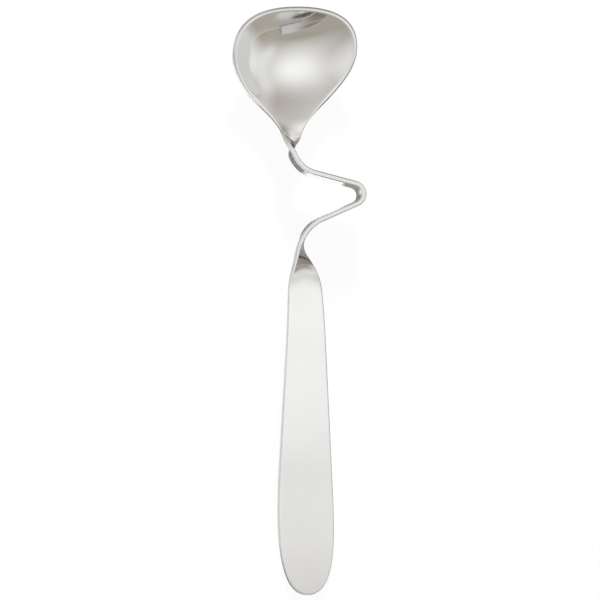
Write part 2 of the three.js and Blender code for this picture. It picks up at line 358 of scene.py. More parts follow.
def bezier(points, share):
    """Points of a cubic Bezier curve, and its directions of travel."""
    share = np.asarray(share)[..., None]
    rest = 1 - share
    a, b, c, d = (np.asarray(point, float) for point in points)
    place = rest**3 * a + 3 * rest**2 * share * b + 3 * rest * share**2 * c + share**3 * d
    travel = rest**2 * (b - a) + 2 * rest * share * (c - b) + share**2 * (d - c)
    return place, travel


def curve_between(start, leaving, arriving, end):
    """Control points of a Bezier curve, from its ends and from how it leaves and arrives."""
    start, end = np.asarray(start, float), np.asarray(end, float)
    return start, start + leaving, end - arriving, end


def straight_line(start, end):
    """Control points of a Bezier curve that runs straight and evenly."""
    third = (np.asarray(end, float) - start) / 3
    return curve_between(start, third, third, end)


class Strip:
    """Shape of the strip by distance from the bowl's tip, in the frame's own place."""

    def __init__(self, settings):
        self.sheet = settings.sheet
        self.bowl = settings.bowl
        self.hook = settings.hook
        self.handle = settings.handle
        self.lay_route()
        self.lay_outline()
        self.lay_heights()

    def lay_route(self):
        """Middle line from above, with the places along it where the forming changes."""
        bowl, hook, handle = self.bowl, self.hook, self.handle
        end = np.array([(HANDLE_BOX[0].x + HANDLE_BOX[1].x) / 2, HANDLE_BOX[0].y])
        root = end + [0, handle.blade_length]
        self.root = root
        lower_bend = root + [-hook.lower_bend_offset, hook.lower_bend_rise]
        throat = lower_bend + [hook.reach, hook.lower_rise]
        upper_bend = np.array([end[0] - hook.neck_offset, throat[1] + hook.upper_rise])
        bowl_root = upper_bend + [hook.neck_lean, hook.neck_length]
        tip = bowl_root + [bowl.tip_offset, bowl.axis_length]
        corners = [tip, bowl_root, upper_bend, throat, lower_bend, root, end]
        radii = [hook.bowl_bend_radius, hook.upper_radius, hook.throat_radius]
        self.runs = bent_route(corners, radii + [hook.lower_radius, hook.root_radius])
        self.ends = [run.begin + run.length for run in self.runs]
        self.end = self.ends[-1]
        self.bowl_joint = self.ends[BOWL_BEND] + hook.joint_margin
        self.handle_joint = self.ends[ROOT_BEND] + hook.joint_margin
        self.turned = self.bowl_joint + hook.bowl_turn_length
        self.turning_back = self.handle_joint - hook.handle_turn_length
        self.crest = self.ends[ROOT_BEND] + handle.crest_from_root
        self.heel = self.end - handle.heel_from_end

    def lay_outline(self):
        """Half of the strip's outline, as curves of distance along it and half width."""
        bowl, handle = self.bowl, self.handle
        bowl_half, strap_half = bowl.width / 2, self.hook.strap_width / 2
        root_half, shoulder_half = handle.root_width / 2, handle.shoulder_width / 2
        widest = bowl.tip_to_widest
        strap_start = widest + bowl.widest_to_strap
        flare_start = self.ends[LOWER_STRAND]
        taper_start = flare_start + handle.flare_length
        self.taper_end = self.end - handle.end_length
        tapered = np.array([1, (shoulder_half - root_half) / (self.taper_end - taper_start)])
        shoulder, strap = (widest, bowl_half), (strap_start, strap_half)
        flare, root = (flare_start, strap_half), (taper_start, root_half)
        tip_rounding = (0, bowl.tip_rounding_across), (bowl.tip_rounding_along, 0)
        end_rounding = handle.end_rounding_along * tapered, (0, -handle.end_rounding_across)
        self.tip_curve = curve_between((0, 0), *tip_rounding, shoulder)
        self.flank_curve = curve_between(shoulder, (bowl.shoulder_rounding, 0), (bowl.strap_run_in, 0), strap)
        flare_curve = curve_between(flare, (handle.flare_run_in, 0), handle.flare_run_out * tapered, root)
        self.end_curve = curve_between((self.taper_end, shoulder_half), *end_rounding, (self.end, 0))
        self.outline = [
            self.tip_curve,
            self.flank_curve,
            straight_line(strap, flare),
            flare_curve,
            straight_line(root, (self.taper_end, shoulder_half)),
            self.end_curve,
        ]

    def lay_heights(self):
        """Height of the strip's own zero over the table, and how far the handle falls from it."""
        places = np.linspace(0, self.bowl_joint, FLANK_STEPS * TIP_STEPS)
        self.over_table = self.sheet.strip_gauge / 2 - self.floor_height(places).min()
        self.fall = self.over_table - self.sheet.handle_gauge / 2

    def share_at(self, curve, along):
        """Share of an outline curve at which it reaches a distance along the strip."""
        low, high = np.zeros_like(along), np.ones_like(along)
        for _ in range(HALVINGS):
            share = (low + high) / 2
            short = bezier(curve, share)[0][..., 0] < along
            low, high = np.where(short, share, low), np.where(short, high, share)
        return (low + high) / 2

    def half_width(self, along):
        """Half width of the strip."""
        along = np.asarray(along, float)
        half = np.zeros_like(along)
        for curve in self.outline:
            inside = (along >= curve[0][0]) & (along <= curve[-1][0])
            half[inside] = bezier(curve, self.share_at(curve, along[inside]))[0][..., 1]
        return half

    def dish_depth(self, along):
        """Depth of the bowl's floor below the strap."""
        bowl = self.bowl
        return hollow(along, bowl.depth, bowl.tip_to_deepest, bowl.dish_run_out)

    def curl(self, along):
        """Curvature across the strip that cups the bowl."""
        bowl = self.bowl
        inside = np.maximum(along, SMALL_STEP)
        cupped = inside < bowl.tip_to_cup + bowl.cup_run_out
        half = self.half_width(np.where(cupped, inside, bowl.tip_to_cup))
        cup = hollow(inside, bowl.cup_depth, bowl.tip_to_cup, bowl.cup_run_out)
        return np.where(cupped, cup / half**2, 0)

    def floor_height(self, along):
        """Height of the strip's middle line in the bowl and the hook, from the hook's level."""
        rim = self.bowl.tip_lift * np.maximum(1 - along / self.bowl_joint, 0) ** 2
        return rim - self.dish_depth(along)

    def height(self, along):
        """Height of the strip's middle line over the table."""
        handle = self.handle
        fallen = soft_ramp(along - self.crest, handle.crest_run)
        fallen -= soft_ramp(along - self.heel, handle.heel_run)
        blade = -self.fall * fallen / (self.heel - self.crest)
        return self.over_table + np.where(along < self.handle_joint, self.floor_height(along), blade)

    def gauge(self, along):
        """Thickness of the steel."""
        thicker = smooth(along, self.handle_joint, self.heel - self.handle.heel_run)
        return self.sheet.strip_gauge + (self.sheet.handle_gauge - self.sheet.strip_gauge) * thicker

    def turn(self, along):
        """Angle by which the strip stands on edge."""
        turned = smooth(along, self.bowl_joint, self.turned) ** self.hook.bowl_turn_delay
        turned_back = smooth(along, self.turning_back, self.handle_joint) ** self.hook.handle_turn_delay
        tilted = 1 - smooth(along, self.turned, self.turned + self.hook.bend_tilt_run)
        return math.pi / 2 * (turned - turned_back) - self.hook.bend_tilt * turned * tilted

    def place(self, along):
        """Place of the middle line from above."""
        along = np.asarray(along, float)
        place = np.zeros(along.shape + (2,))
        for index, run in enumerate(self.runs):
            first, last = index == 0, index == len(self.runs) - 1
            inside = (first | (along >= run.begin)) & (last | (along < run.begin + run.length))
            gone = along[inside] - run.begin
            middle = run.angle + run.turning * gone / 2
            chord = gone * np.sinc(run.turning * gone / 2 / math.pi)
            place[inside] = run.start + chord[..., None] * np.stack([np.cos(middle), np.sin(middle)], -1)
        return place

    def facing(self, along):
        """Way that the strap's sections face from above, which eases into and out of each bend."""
        angle = self.runs[0].angle
        for before, run in zip(self.runs, self.runs[1:]):
            angle = angle + (run.turning - before.turning) * soft_ramp(along - run.begin, BEND_EASING)
        return np.stack([np.cos(angle), np.sin(angle)], -1)

    def section_axes(self, along):
        """Way that a section faces, and its directions across and out of the upper face.

        The bowl's sections stay square to the handle, and the strap's turn to its route.
        """
        onward = smooth(along, self.bowl_joint, self.ends[NECK])[..., None]
        heading = unit((1 - onward) * [0, -1] + onward * self.facing(along))
        turn = self.turn(along)[..., None]
        ahead = np.concatenate([heading, np.zeros(along.shape + (1,))], -1)
        side = np.stack([-heading[..., 1], heading[..., 0], np.zeros(along.shape)], -1)
        up = np.array([0.0, 0.0, 1.0])
        return ahead, side * np.cos(turn) - up * np.sin(turn), side * np.sin(turn) + up * np.cos(turn)

    def middle(self, along, across):
        """Points of the sheet's middle surface."""
        _, width, face = self.section_axes(along)
        centre = np.concatenate([self.place(along), self.height(along)[..., None]], -1)
        return centre + width * across[..., None] + face * (self.curl(along) * across**2)[..., None]

    def thickness_direction(self, along, across):
        """Direction of the sheet's thickness, which turns square to the joint at the bowl's end."""
        inside = np.clip(along, 2 * SMALL_STEP, self.end - 2 * SMALL_STEP)
        onward = self.middle(inside + SMALL_STEP, across) - self.middle(inside - SMALL_STEP, across)
        sideways = self.middle(inside, across + SMALL_STEP) - self.middle(inside, across - SMALL_STEP)
        normal = unit(np.cross(onward, sideways))
        ahead = self.section_axes(inside)[0]
        square = smooth(along, self.bowl_joint - self.hook.square_run, self.bowl_joint)
        square = np.where(along > self.handle_joint, 0, square)[..., None]
        normal -= ahead * square * np.sum(normal * ahead, -1, keepdims=True)
        return unit(normal)

    def stations(self, curve, shares):
        """Stations on an outline curve, each with the direction in from the edge."""
        edge, travel = bezier(curve, shares)
        inward = unit(np.stack([travel[:, 1], -travel[:, 0]], -1))
        return Stations(edge[:, 0], np.maximum(edge[:, 1], 0), inward)

    def stations_at(self, places):
        """Stations at given places along the strip."""
        rows = []
        for along in places:
            curve = next(curve for curve in self.outline if along <= curve[-1][0])
            station = self.stations(curve, self.share_at(curve, np.array([along])))
            rows.append(station._replace(along=np.array([along])))
        return joined(*rows)

    def joint(self, along):
        """Station at a joint, where the edge runs straight on."""
        return Stations(np.array([along]), self.half_width([along]), np.array([[0.0, -1.0]]))


def joined(*groups):
    """One row of stations from several."""
    return Stations(*(np.concatenate(column) for column in zip(*groups)))


def section_profile():
    """Closed profile of the sheet's section, going round from the left end of its upper face.

    A point's lean is its share of the half width, its out and lift are the two sides of the rounded
    corner that it lies on, and its side is the face that it belongs to.
    """
    face = np.linspace(-1, 1, ACROSS_STEPS + 1)
    corner = np.linspace(0, math.pi / 2, ROUNDING_STEPS + 1)[1:]
    rows = [(lean, 0, 1, 1) for lean in face]
    rows += [(1, math.sin(a), 1, math.cos(a)) for a in corner]
    rows += [(1, math.sin(a), -1, math.cos(a)) for a in corner[::-1]]
    rows += [(lean, 0, -1, 1) for lean in face[::-1]]
    rows += [(-1, math.sin(a), -1, math.cos(a)) for a in corner]
    rows += [(-1, math.sin(a), 1, math.cos(a)) for a in corner[::-1]]
    return Profile(*np.array(rows).T)


def section_places(stations, profile, strip):
    """Distance along, distance across and rise of each profile point at each station."""
    radius = strip.sheet.edge_radius
    inset = radius * (1 - profile.out)
    along = stations.along[:, None] + inset * stations.inward[:, :1]
    across = profile.lean * (stations.half[:, None] + inset * stations.inward[:, 1:])
    core = strip.gauge(stations.along)[:, None] / 2 - radius
    rise = profile.side * (core + radius * profile.lift)
    return along, across, rise


def formed_length(name, stations, strip):
    """Closed mesh through the sections of one length of the strip. A joint is closed by a flat face."""
    profile = section_profile()
    along, across, rise = section_places(stations, profile, strip)
    points = strip.middle(along, across) + strip.thickness_direction(along, across) * rise[..., None]
    rows, size = along.shape
    index = np.arange(rows * size).reshape(rows, size)
    onward = np.roll(index, -1, axis=1)
    quads = np.stack([index[:-1], index[1:], onward[1:], onward[:-1]], -1).reshape(-1, 4)
    faces = quads.tolist()
    if stations.half[0] > strip.sheet.edge_radius:
        faces.append(index[0].tolist())
    if stations.half[-1] > strip.sheet.edge_radius:
        faces.append(index[-1][::-1].tolist())
    mesh = bpy.data.meshes.new(name)
    mesh.from_pydata(points.reshape(-1, 3).tolist(), [], faces)
    grain = mesh.attributes.new("grain", "FLOAT_VECTOR", "POINT")
    grain.data.foreach_set("vector", np.stack([across, along, rise], -1).reshape(-1))
    edge = mesh.attributes.new("cut_edge", "FLOAT", "POINT")
    edge.data.foreach_set("value", np.tile(profile.out, rows))
    close_tips(mesh)
    return mesh


def close_tips(mesh):
    """Merge the points that fall together where the strip's width runs out."""
    work = bmesh.new()
    work.from_mesh(mesh)
    bmesh.ops.remove_doubles(work, verts=work.verts, dist=SMALL_STEP)
    bmesh.ops.dissolve_degenerate(work, edges=work.edges, dist=SMALL_STEP)
    work.to_mesh(mesh)
    work.free()


def add_node(tree, kind, inputs=None, output=0, **settings):
    """Add a node with its settings, and give one of its outputs, or all of them for None.

    An input takes a value, or another node's socket to link.
    """
    node = tree.nodes.new(kind)
    for name, value in settings.items():
        setattr(node, name, value)
    for key, value in (inputs or {}).items():
        if isinstance(value, bpy.types.NodeSocket):
            tree.links.new(value, node.inputs[key])
        else:
            node.inputs[key].default_value = value
    return node.outputs if output is None else node.outputs[output]


# The strap on edge, which follows a path

def strap_tree():
    """Node tree that sweeps a strap's section along a path, turned and widened as the path says."""
    tree = bpy.data.node_groups.new("Strap along a path", "GeometryNodeTree")
    for name, kind in (
        ("Path", "NodeSocketGeometry"),
        ("Section", "NodeSocketObject"),
        ("Half gauge", "NodeSocketFloat"),
        ("Edge radius", "NodeSocketFloat"),
        ("Steel", "NodeSocketMaterial"),
    ):
        tree.interface.new_socket(name, in_out="INPUT", socket_type=kind)
    tree.interface.new_socket("Strap", in_out="OUTPUT", socket_type="NodeSocketGeometry")
    given = add_node(tree, "NodeGroupInput", output=None)
    value = {
        name: add_node(tree, "GeometryNodeInputNamedAttribute", {"Name": name}, data_type=kind)
        for name, kind in STRAP_VALUES.items()
    }
    section = add_node(tree, "GeometryNodeObjectInfo", {"Object": given["Section"]}, "Geometry")
    path, ring = (
        add_node(tree, "GeometryNodeMeshToCurve", {"Mesh": line}) for line in (given["Path"], section)
    )
    swept = add_node(
        tree, "GeometryNodeCurveToMesh", {"Curve": path, "Profile Curve": ring, "Fill Caps": True},
    )

    # The faces widen with the strip, while the rounded edges keep their radius.
    sizes = []
    for half, rounding, share in (
        (value["half_width"], value["cut_edge"], value["lean"]),
        (given["Half gauge"], value["lift"], value["side"]),
    ):
        inset = add_node(tree, "ShaderNodeMapRange", {0: rounding, 3: given["Edge radius"], 4: 0})
        reach = add_node(tree, "ShaderNodeMath", {0: half, 1: inset}, operation="SUBTRACT")
        sizes.append(add_node(tree, "ShaderNodeMath", {0: share, 1: reach}, operation="MULTIPLY"))
    across, rise = sizes

    # The end of the dish still curls the strap where it leaves the bowl.
    half_slope = add_node(tree, "ShaderNodeMath", {0: value["curl"], 1: across}, operation="MULTIPLY")
    bulge = add_node(tree, "ShaderNodeMath", {0: half_slope, 1: across}, operation="MULTIPLY")
    slope = add_node(tree, "ShaderNodeMath", {0: half_slope, 1: -2}, operation="MULTIPLY")
    width, face = value["width"], value["face"]
    leaning = add_node(tree, "ShaderNodeVectorMath", {0: width, 1: slope, 2: face}, operation="MULTIPLY_ADD")
    normal = add_node(tree, "ShaderNodeVectorMath", {0: leaning}, operation="NORMALIZE")
    place = value["place"]
    for direction, distance in ((width, across), (face, bulge), (normal, rise)):
        place = add_node(
            tree, "ShaderNodeVectorMath", {0: direction, 1: distance, 2: place}, operation="MULTIPLY_ADD",
        )
    formed = add_node(tree, "GeometryNodeSetPosition", {"Geometry": swept, "Position": place})

    # Buffing lines follow the strip, so each point keeps its distances across and along.
    grain = add_node(tree, "ShaderNodeCombineXYZ", {"X": across, "Y": value["along"], "Z": rise})
    grained = add_node(
        tree,
        "GeometryNodeStoreNamedAttribute",
        {"Geometry": formed, "Name": "grain", "Value": grain},
        data_type="FLOAT_VECTOR",
    )
    real = add_node(tree, "GeometryNodeRealizeInstances", {"Geometry": grained})
    steel = add_node(tree, "GeometryNodeSetMaterial", {"Geometry": real, "Material": given["Steel"]})
    add_node(tree, "NodeGroupOutput", {"Strap": steel}, None)
    return tree


def line_object(name, points, edges, values):
    """Line that carries its values at its points."""
    mesh = bpy.data.meshes.new(name)
    mesh.from_pydata(points.tolist(), edges, [])
    for key, numbers in values.items():
        attribute = mesh.attributes.new(key, STRAP_VALUES[key], "POINT")
        attribute.data.foreach_set("vector" if numbers.ndim == 2 else "value", numbers.ravel())
    return linked_object(name, mesh)


def path_object(strip):
    """Open path through the hook's stations, with what the strip does at each of them."""
    count = math.ceil((strip.handle_joint - strip.bowl_joint) / HOOK_STEP)
    along = np.linspace(strip.bowl_joint, strip.handle_joint, count + 1)
    place = np.concatenate([strip.place(along), strip.height(along)[:, None]], -1)
    _, width, face = strip.section_axes(along)
    values = {
        "along": along,
        "half_width": strip.half_width(along),
        "curl": strip.curl(along),
        "place": place,
        "width": width,
        "face": face,
    }
    return line_object("strap_path", place, [(index, index + 1) for index in range(count)], values)


def section_object():
    """Closed ring of a section, which the node tree brings to the strap's sizes."""
    lean, out, side, lift = section_profile()
    points = np.stack([lean * (1 + out), side * (1 + lift), 0 * lean], -1)
    ring = [(index, (index + 1) % len(points)) for index in range(len(points))]
    values = {"lean": lean, "cut_edge": out, "side": side, "lift": lift}
    return line_object("strap_section", points, ring, values)


def strap_mesh(strip, steel):
    """Plain mesh of the strap, from its node tree."""
    tree = strap_tree()
    path, section = path_object(strip), section_object()
    modifier = path.modifiers.new("Strap", "NODES")
    modifier.node_group = tree
    values = {
        "Section": section,
        "Half gauge": strip.sheet.strip_gauge / 2,
        "Edge radius": strip.sheet.edge_radius,
        "Steel": steel,
    }
    for socket in tree.interface.items_tree:
        if socket.name in values:
            modifier[socket.identifier] = values[socket.name]
    depsgraph = bpy.context.evaluated_depsgraph_get()
    mesh = bpy.data.meshes.new_from_object(path.evaluated_get(depsgraph), depsgraph=depsgraph)
    for helper in (path, section):
        data = helper.data
        bpy.data.objects.remove(helper)
        bpy.data.meshes.remove(data)
    bpy.data.node_groups.remove(tree)
    for name in STRAP_VALUES:
        if name != "cut_edge":
            mesh.attributes.remove(mesh.attributes[name])
    return mesh


# Pieces

def linked_object(name, data):
    """Object in the scene's own collection, at the origin."""
    made = bpy.data.objects.new(name, data)
    bpy.context.scene.collection.objects.link(made)
    return made


def finish_piece(name, mesh, node, steel):
    """Shade a finished mesh and set it in the place of its solid."""
    if not mesh.polygons:
        raise RuntimeError(f"{name} has no faces")
    work = bmesh.new()
    work.from_mesh(mesh)
    bmesh.ops.recalc_face_normals(work, faces=work.faces)
    if any(not edge.is_manifold for edge in work.edges):
        raise RuntimeError(f"{name} isn't closed")
    work.to_mesh(mesh)
    work.free()
    for polygon in mesh.polygons:
        polygon.use_smooth = len(polygon.vertices) <= 4
    mesh.materials.clear()
    mesh.materials.append(steel)
    piece = linked_object(name, mesh)
    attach(piece, "root")
    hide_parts(node)


def joint_points(mesh):
    """Points on a mesh's flat joint faces, with the smooth normal that each has on the outside."""
    ends = {point for polygon in mesh.polygons if not polygon.use_smooth for point in polygon.vertices}
    normals = {}
    for polygon in mesh.polygons:
        if polygon.use_smooth:
            for corner in polygon.loop_indices:
                point = mesh.loops[corner].vertex_index
                if point in ends:
                    normals[point] = mesh.corner_normals[corner].vector.copy()
    return normals


def blend_joints(pieces):
    """Give both sides of each joint the same normals, as on steel that was polished across it."""
    meshes = [piece.data for piece in pieces]
    found = [(mesh, point, normal) for mesh in meshes for point, normal in joint_points(mesh).items()]
    tree = KDTree(len(found))
    for index, (mesh, point, _) in enumerate(found):
        tree.insert(mesh.vertices[point].co, index)
    tree.balance()
    shared = {}
    for mesh, point, _ in found:
        near = tree.find_range(mesh.vertices[point].co, JOINT_TOLERANCE)
        if len(near) < 2:
            raise RuntimeError("a joint's two sides don't meet")
        shared[mesh.name, point] = sum((found[index][2] for _, index, _ in near), Vector()).normalized()
    for mesh in meshes:
        normals = [corner.vector.copy() for corner in mesh.corner_normals]
        for polygon in mesh.polygons:
            if polygon.use_smooth:
                for corner in polygon.loop_indices:
                    key = (mesh.name, mesh.loops[corner].vertex_index)
                    normals[corner] = shared.get(key, normals[corner])
        mesh.normals_split_custom_set(normals)


# Finishes

def cleared_tree(owner):
    """Node tree of a new material or world, emptied."""
    owner.use_nodes = True
    owner.node_tree.nodes.clear()
    return owner.node_tree


def layered(tree, shade, layers):
    """Colour with layers of other tones over it.

    A layer covers the places where each of its values has gone from its start to its full.
    """
    for tone, fade, limits in layers:
        cover = 1.0
        for value, start, full in limits:
            share = add_node(
                tree, "ShaderNodeMapRange", {0: value, 1: start, 2: full}, interpolation_type=fade,
            )
            cover = add_node(tree, "ShaderNodeMath", {0: cover, 1: share}, operation="MULTIPLY")
        colours = {"Factor": cover, MIX_FROM: shade, MIX_TO: (*tone, 1)}
        shade = add_node(tree, "ShaderNodeMix", colours, MIX_RESULT, data_type="RGBA")
    return shade


def polished_stainless(finish):
    """Stainless steel sheet, formed and then buffed to a mirror along the strip.

    The eye sees clear, neutral reflections of the room. Fine buffing lines soften them a little and run
    with the strip, round the bends too, and the polish is duller in large, faint patches. The cut edges
    were tumbled and not buffed, so they are greyer and softer. The lines are drawn wider than real ones,
    which are too fine to show.
    """
    name = "Mirror-polished stainless steel"
    if name in bpy.data.materials:
        return bpy.data.materials[name]
    material = bpy.data.materials.new(name)
    tree = cleared_tree(material)
    grain = add_node(tree, "ShaderNodeAttribute", output="Vector", attribute_name="grain")
    edge = add_node(tree, "ShaderNodeAttribute", output="Fac", attribute_name="cut_edge")
    edge = add_node(tree, "ShaderNodeMath", {0: edge, 1: edge}, operation="MULTIPLY")
    line_scale = (1 / finish.line_spacing, 1 / finish.line_length, 1 / finish.line_spacing)
    along_lines = add_node(tree, "ShaderNodeMapping", {"Vector": grain, "Scale": line_scale})
    lines = add_node(
        tree,
        "ShaderNodeTexNoise",
        {"Vector": along_lines, "Scale": 1.0, "Detail": LINE_DETAIL, "Roughness": LINE_ROUGHNESS},
        "Fac",
    )
    patches = add_node(
        tree,
        "ShaderNodeTexNoise",
        {"Vector": grain, "Scale": 1 / finish.patch_size, "Detail": PATCH_DETAIL},
        "Fac",
    )
    tone = (*finish.dull, 1)
    for share, colour_there in ((patches, finish.bright), (edge, finish.cut_edge)):
        colours = {"Factor": share, MIX_FROM: tone, MIX_TO: (*colour_there, 1)}
        tone = add_node(tree, "ShaderNodeMix", colours, MIX_RESULT, data_type="RGBA")
    faint, strong = LINE_CONTRAST
    gloss = add_node(
        tree,
        "ShaderNodeMapRange",
        {0: lines, 1: faint, 2: strong, 3: finish.clear_gloss, 4: finish.soft_gloss},
    )
    softness = add_node(
        tree, "ShaderNodeMath", {0: edge, 1: finish.edge_softness, 2: gloss}, operation="MULTIPLY_ADD",
    )
    relief = add_node(
        tree, "ShaderNodeBump", {"Strength": 1.0, "Distance": finish.line_depth, "Height": lines},
    )
    steel = add_node(
        tree,
        "ShaderNodeBsdfPrincipled",
        {"Base Color": tone, "Metallic": 1.0, "Roughness": softness, "Normal": relief},
    )
    add_node(tree, "ShaderNodeOutputMaterial", {"Surface": steel}, None)
    return material


def white_table(studio):
    """Matt white laminate: even, with a faint mottle, and bright enough to lose itself in the backdrop.

    In the steel only, painted shade greys it: a grey patch beside the hook, standing in for the shade that
    the steel shows there, and a greying with distance.
    """
    material = bpy.data.materials.new("Matt white laminate")
    tree = cleared_tree(material)
    spot = add_node(tree, "ShaderNodeTexCoord", output="Object")
    across, along, _ = add_node(tree, "ShaderNodeSeparateXYZ", {0: spot}, None)
    away = add_node(tree, "ShaderNodeVectorMath", {0: spot}, "Value", operation="LENGTH")
    # Place across, run aslant past the corner, that marks out the painted shade beside the hook.
    corner, size = studio.reflected_shade_corner, studio.table_size
    slant = add_node(tree, "ShaderNodeMapRange", {0: along, 1: corner, 2: corner + size, 3: 0, 4: size})
    aside = add_node(tree, "ShaderNodeMath", {0: across, 1: slant}, operation="ADD")
    mottle = add_node(
        tree,
        "ShaderNodeTexNoise",
        {"Vector": spot, "Scale": 1 / studio.mottle_size, "Detail": PATCH_DETAIL},
        "Fac",
    )
    colours = {"Factor": mottle, MIX_FROM: (*studio.table_colour, 1), MIX_TO: WHITE}
    plain = add_node(tree, "ShaderNodeMix", colours, MIX_RESULT, data_type="RGBA")
    # Painted shade, seen only in the steel: the grey patch beside the hook, then grey towards the tent's ends
    # farther across and with distance.
    mirrored = layered(tree, plain, (
        (studio.reflected_shade_colour, "SMOOTHSTEP", [(aside, studio.reflected_shade_start, studio.reflected_shade_full)]),
        (studio.tent_ends, "SMOOTHSTEP", [(aside, studio.reflected_shade_full, studio.reflected_shade_faded)]),
        (studio.tent_ends, "SMOOTHSTEP", [(away, studio.table_fade, studio.table_faded)]),
    ))
    in_steel = add_node(tree, "ShaderNodeLightPath", output="Is Glossy Ray")
    colours = {"Factor": in_steel, MIX_FROM: plain, MIX_TO: mirrored}
    tone = add_node(tree, "ShaderNodeMix", colours, MIX_RESULT, data_type="RGBA")
    matt = add_node(tree, "ShaderNodeBsdfDiffuse", {"Color": tone, "Roughness": TABLE_ROUGHNESS})
    glow = add_node(tree, "ShaderNodeEmission", {"Color": WHITE, "Strength": 1.0})
    seen = add_node(tree, "ShaderNodeLightPath", output="Is Camera Ray")
    share = add_node(tree, "ShaderNodeMath", {0: seen, 1: studio.table_glow}, operation="MULTIPLY")
    mixed = add_node(tree, "ShaderNodeMixShader", {0: share, 1: matt, 2: glow})
    add_node(tree, "ShaderNodeOutputMaterial", {"Surface": mixed}, None)
    return material


# Studio

def studio_camera(strip, studio):
    """Long lens over the spoon, leaning to the hook's open side and to the handle's end."""
    lean, pitch, turn = studio.lean, studio.pitch, studio.turn
    right = Vector((math.cos(lean), 0, math.sin(lean)))
    up = Vector((
        -math.sin(lean) * math.sin(pitch),
        math.cos(pitch),
        math.cos(lean) * math.sin(pitch),
    ))
    back = right.cross(up)
    picture_right = right * math.cos(turn) - up * math.sin(turn)
    picture_up = right * math.sin(turn) + up * math.cos(turn)
    aim = Vector((*strip.root, 0)) - Vector((0, studio.aim_below_root, 0))
    aim += picture_right * studio.aim_across + picture_up * studio.aim_along
    data = bpy.data.cameras.new("Studio camera")
    data.lens = data.sensor_width * studio.distance / studio.framed_width
    data.clip_start, data.clip_end = studio.distance * CLIP_START, studio.distance * CLIP_END
    camera = linked_object("studio_camera", data)
    turned = Matrix((picture_right, picture_up, back)).transposed()
    camera.matrix_world = Matrix.Translation(aim + back * studio.distance) @ turned.to_4x4()
    bpy.context.scene.camera = camera


def level_square(name, half, material):
    """Flat square of the stage."""
    mesh = bpy.data.meshes.new(name)
    corners = [(-half, -half, 0), (half, -half, 0), (half, half, 0), (-half, half, 0)]
    mesh.from_pydata(corners, [], [range(len(corners))])
    mesh.materials.append(material)
    square = linked_object(name, mesh)
    return square


def studio_table(studio):
    """Plain table under the spoon."""
    level_square("studio_table", studio.table_size / 2, white_table(studio))


def tent_colour(tree, studio):
    """Colour of the tent in each direction, as the steel shows it.

    Its ends are warm grey, a little lighter low beyond the handle, and its top is brightest. Its sides are
    white between their foot and their head, and behind the bowl a white backdrop curves up from the table.
    """
    way = add_node(tree, "ShaderNodeTexCoord", output="Generated")
    across, along, up = add_node(tree, "ShaderNodeSeparateXYZ", {0: way}, None)
    skew = add_node(tree, "ShaderNodeMapRange", {0: along, 1: TOP_SKEW_START, 2: 1, 3: 0, 4: TOP_SKEW})
    height = add_node(tree, "ShaderNodeMath", {0: up, 1: skew}, operation="SUBTRACT")
    shifted = add_node(tree, "ShaderNodeMath", {0: across, 1: SIDE_SHIFT}, operation="ADD")
    aside = add_node(tree, "ShaderNodeMath", {0: shifted}, operation="ABSOLUTE")
    foot, head = (
        add_node(tree, "ShaderNodeMath", {0: across, 1: slope, 2: up}, operation="MULTIPLY_ADD")
        for slope in (FOOT_SLOPE, HEAD_SLOPE)
    )
    top, sides, sweep = (
        [channel * light for channel in studio.tent_white]
        for light in (studio.top_light, studio.side_light, studio.sweep_light)
    )
    return layered(tree, (*studio.tent_ends, 1), (
        (studio.tent_front, "SMOOTHSTEP", [(along, *FRONT_ALONG)]),
        (top, "LINEAR", [(height, *TOP_HEIGHT)]),
        (sides, "SMOOTHSTEP", [(aside, *SIDE_ACROSS), (foot, *SIDE_FOOT), (head, *SIDE_HEAD)]),
        (sweep, "SMOOTHSTEP", [(along, *SWEEP_ALONG), (across, *SWEEP_ACROSS), (up, *SWEEP_HEIGHT)]),
    ))


def studio_world(studio):
    """Light tent: plain white to the camera, even light on the table, and soft shades in the steel."""
    world = bpy.data.worlds.new("Light tent")
    bpy.context.scene.world = world
    tree = cleared_tree(world)
    lit, mirrored, seen = (
        add_node(tree, "ShaderNodeBackground", {"Color": tone, "Strength": strength})
        for tone, strength in ((WHITE, studio.room_light), (tent_colour(tree, studio), 1.0), (WHITE, 1.0))
    )
    mixed = lit
    for ray, shade in (("Is Glossy Ray", mirrored), ("Is Camera Ray", seen)):
        share = add_node(tree, "ShaderNodeLightPath", output=ray)
        mixed = add_node(tree, "ShaderNodeMixShader", {0: share, 1: mixed, 2: shade})
    add_node(tree, "ShaderNodeOutputWorld", {"Surface": mixed}, None)


def soft_screen(name, tone, cover, radius, core):
    """Round screen of one tone, thick up to its core and thinning out to nothing at its edge."""
    material = bpy.data.materials.new(name)
    tree = cleared_tree(material)
    spot = add_node(tree, "ShaderNodeTexCoord", output="Object")
    away = add_node(tree, "ShaderNodeVectorMath", {0: spot}, "Value", operation="LENGTH")
    share = add_node(
        tree,
        "ShaderNodeMapRange",
        {0: away, 1: radius, 2: core * radius, 4: cover},
        interpolation_type="SMOOTHSTEP",
    )
    clear = add_node(tree, "ShaderNodeBsdfTransparent")
    shade = add_node(tree, "ShaderNodeEmission", {"Color": (*tone, 1), "Strength": 1.0})
    mixed = add_node(tree, "ShaderNodeMixShader", {0: share, 1: clear, 2: shade})
    add_node(tree, "ShaderNodeOutputMaterial", {"Surface": mixed}, None)
    return material


def hung_screen(name, radius, material):
    """Screen that only the steel shows."""
    screen = level_square(name, radius, material)
    screen.visible_camera = False
    screen.visible_diffuse = False
    screen.visible_shadow = False
    return screen


